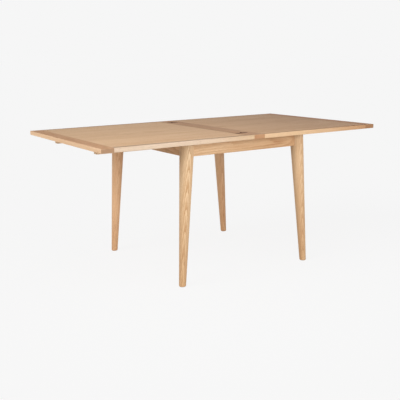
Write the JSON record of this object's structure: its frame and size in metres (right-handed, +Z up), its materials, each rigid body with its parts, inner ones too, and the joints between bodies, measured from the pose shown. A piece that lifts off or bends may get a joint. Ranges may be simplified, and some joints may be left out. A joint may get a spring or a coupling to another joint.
{
  "type": "flip-top dining table",
  "caption": "Oak flip-top dining table, shown open: the top folds over on flush hinges and slides to the middle of a base with round tapered legs.",
  "frame": {"origin": "on the floor, under the middle of the open top", "axes": "+X runs along the open top from the sliding lower leaf to the flip leaf, +Y from the front edge to the back edge, +Z up"},
  "size_m": [1.7, 0.95, 0.7525],
  "materials": {
    "oak_veneer": "matt lacquered oak veneer on board",
    "oak_edging": "matt lacquered solid oak",
    "oak_solid": "matt lacquered solid oak",
    "beech": "plain planed beech",
    "hinge_bronze": "dark bronzed brass",
    "steel": "bright zinc plate",
    "nylon": "moulded brown nylon",
    "felt": "pressed felt"
  },
  "bodies": {
    "base": {"leg_front_left": "oak_solid", "leg_front_right": "oak_solid", "leg_back_left": "oak_solid", "leg_back_right": "oak_solid", "apron_front": "oak_solid", "apron_back": "oak_solid", "apron_left": "oak_solid", "apron_right": "oak_solid", "corner_block_front_left": "beech", "corner_block_front_right": "beech", "corner_block_back_left": "beech", "corner_block_back_right": "beech", "cross_rail_left": "beech", "cross_rail_right": "beech", "guide_front": "beech", "guide_back": "beech", "foot_glides": "nylon", "hanger_bolts": "steel", "hanger_washers": "steel", "hanger_nuts": "steel", "corner_block_screws": "steel", "guide_screws": "steel", "rail_dowels": "beech", "stop_pins": "steel", "slide_pads": "felt"},
    "lower_leaf": {"lower_panel": "oak_veneer", "lower_end_breadboard": "oak_edging", "lower_seam_rail": "oak_edging", "lower_lipping_front": "oak_edging", "lower_lipping_back": "oak_edging", "lower_end_spline": "beech", "lower_seam_spline": "beech", "runner_front": "beech", "runner_back": "beech", "runner_screws": "steel", "hinge_plate_lower_front": "hinge_bronze", "hinge_plate_lower_back": "hinge_bronze", "hinge_screws_lower": "hinge_bronze", "hinge_pins": "hinge_bronze"},
    "flip_leaf": {"flip_panel": "oak_veneer", "flip_end_breadboard": "oak_edging", "flip_seam_breadboard": "oak_edging", "flip_lipping_front": "oak_edging", "flip_lipping_back": "oak_edging", "flip_end_spline": "beech", "flip_seam_spline": "beech", "hinge_plate_flip_front": "hinge_bronze", "hinge_plate_flip_back": "hinge_bronze", "hinge_screws_flip": "hinge_bronze"}
  },
  "joints": [
    {"name": "top_slide", "type": "slide", "parent": "base", "child": "lower_leaf", "axis": [1, 0, 0], "range_m": [0, 0.425]},
    {"name": "leaf_fold", "type": "hinge", "parent": "lower_leaf", "child": "flip_leaf", "pos_m": [0, 0, 0.7503], "axis": [0, -1, 0], "range_deg": [0, 180]}
  ]
}
